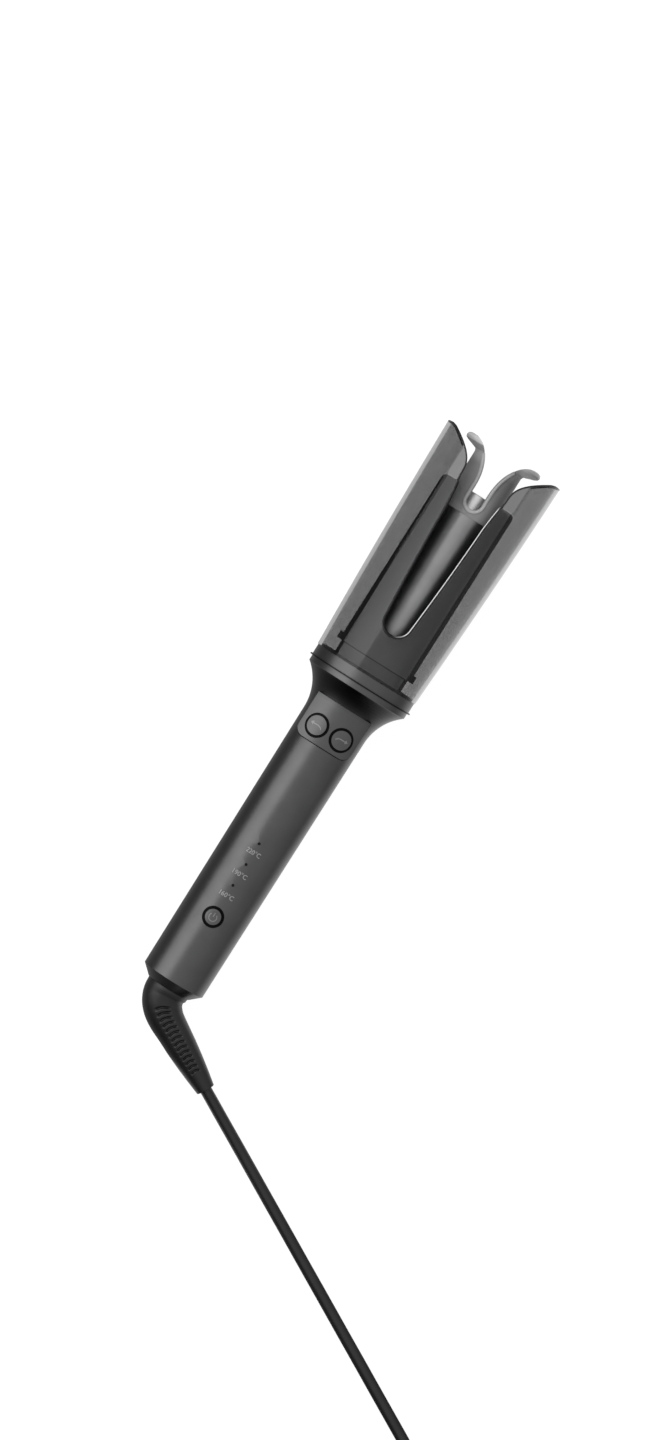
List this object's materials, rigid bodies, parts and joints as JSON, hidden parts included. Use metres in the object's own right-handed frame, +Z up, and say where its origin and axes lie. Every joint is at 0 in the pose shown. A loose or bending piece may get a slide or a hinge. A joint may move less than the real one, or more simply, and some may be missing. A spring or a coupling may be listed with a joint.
{
  "type": "automatic curling iron",
  "caption": "Slim handle with press buttons and a forked heated barrel that turns inside a slotted chamber and smoked shell, with a coiled mains cord and plug.",
  "frame": {"origin": "on the table under the middle of the object's box, with the cord and its boot left out", "axes": "+Y along the table towards the head, +Z up and, but for the 4 degree lie of the handle, out of the buttons, +X to the right seen from above with the head away"},
  "size_m": [0.3765, 0.5472, 0.0658],
  "materials": {
    "handle": "satin gunmetal",
    "panel": "satin gunmetal",
    "bezel": "gloss black",
    "button": "satin grey",
    "inner_plastic": "moulded",
    "light": "smoked clear",
    "lamp": "clear resin",
    "board": "green lacquer",
    "terminal": "moulded",
    "filter": "moulded",
    "semiconductor": "moulded",
    "electrolytic": "sleeved can",
    "black_cap": "satin black",
    "boot": "matte black",
    "screw": "zinc plated",
    "steel": "bare",
    "gearbox": "bare",
    "gear": "natural nylon",
    "bronze": "sintered",
    "barrel": "ceramic coated",
    "guide": "satin grey",
    "aluminium": "bare",
    "ceramic": "bare",
    "sensor": "coated",
    "chamber": "satin",
    "lining": "bare sheet",
    "shell": "smoked clear",
    "trim": "dark",
    "cord": "matte black",
    "tie": "woven",
    "plug": "matte black",
    "plug_metal": "nickel plated"
  },
  "bodies": {
    "iron": {"handle_front": "handle", "handle_rear": "handle", "button_panel": "panel", "button_bezels": "bezel", "left_switch": "inner_plastic", "right_switch": "inner_plastic", "power_switch": "inner_plastic", "heat_lights": "light", "indicator_lamps": "lamp", "control_board": "board", "terminal_block": "terminal", "filter_capacitor": "filter", "heater_triac": "semiconductor", "smoothing_capacitor": "electrolytic", "end_cap": "black_cap", "strain_relief": "boot", "cord_clamp": "inner_plastic", "clamp_screws": "screw", "handle_screws": "screw", "gear_plate": "steel", "bearing_plate": "inner_plastic", "gearbox_screws": "screw", "motor": "steel", "gear_head": "gearbox", "motor_screws": "screw", "idler_pin": "steel", "lower_bush": "bronze", "heater_stem": "steel", "heater_core_front": "aluminium", "heater_core_rear": "aluminium", "heating_ceramic": "ceramic", "core_cap": "ceramic", "thermistor": "sensor", "thermal_fuse": "aluminium", "head_base": "chamber", "chamber": "chamber", "chamber_lining": "lining", "outer_shell": "shell", "collar_ring": "handle", "trim_ring": "trim", "cord_lead": "cord", "cord_coil": "cord", "cord_tie": "tie", "plug_body": "plug", "plug_pins": "plug_metal"},
    "turning_barrel": {"barrel": "barrel", "hair_guide": "guide", "barrel_hub": "inner_plastic", "barrel_gear": "gear", "upper_bush": "bronze"},
    "idler": {"idler_gear": "gear"},
    "output_shaft": {"motor_shaft": "steel", "motor_pinion": "gearbox"},
    "left_turn_button": {"left_button": "button", "left_actuator": "inner_plastic"},
    "right_turn_button": {"right_button": "button", "right_actuator": "inner_plastic"},
    "power_push_button": {"power_button": "button", "power_actuator": "inner_plastic"}
  },
  "joints": [
    {"name": "barrel_spin", "type": "hinge", "parent": "iron", "child": "turning_barrel", "pos_m": [0, 0.04514, 0.03031], "axis": [0, 0.9976, 0.0699], "continuous": true},
    {"name": "idler_spin", "type": "hinge", "parent": "iron", "child": "idler", "pos_m": [0.01031, 0.01992, 0.01832], "axis": [0, 0.9976, 0.0699], "continuous": true},
    {"name": "shaft_spin", "type": "hinge", "parent": "iron", "child": "output_shaft", "pos_m": [0, 0.01778, 0.02018], "axis": [0, 0.9976, 0.0699], "continuous": true},
    {"name": "left_press", "type": "slide", "parent": "iron", "child": "left_turn_button", "axis": [0.2504, 0.0677, -0.9658], "range_m": [0, 0.0006], "stiffness_N_per_m": 1500},
    {"name": "right_press", "type": "slide", "parent": "iron", "child": "right_turn_button", "axis": [-0.2504, 0.0677, -0.9658], "range_m": [0, 0.0006], "stiffness_N_per_m": 1500},
    {"name": "power_press", "type": "slide", "parent": "iron", "child": "power_push_button", "axis": [0, 0.0699, -0.9976], "range_m": [0, 0.0006], "stiffness_N_per_m": 1500}
  ],
  "couplings": [
    {"joint": "idler_spin", "follows": "barrel_spin", "ratio": -3.1429},
    {"joint": "shaft_spin", "follows": "barrel_spin", "ratio": 7.8571}
  ]
}
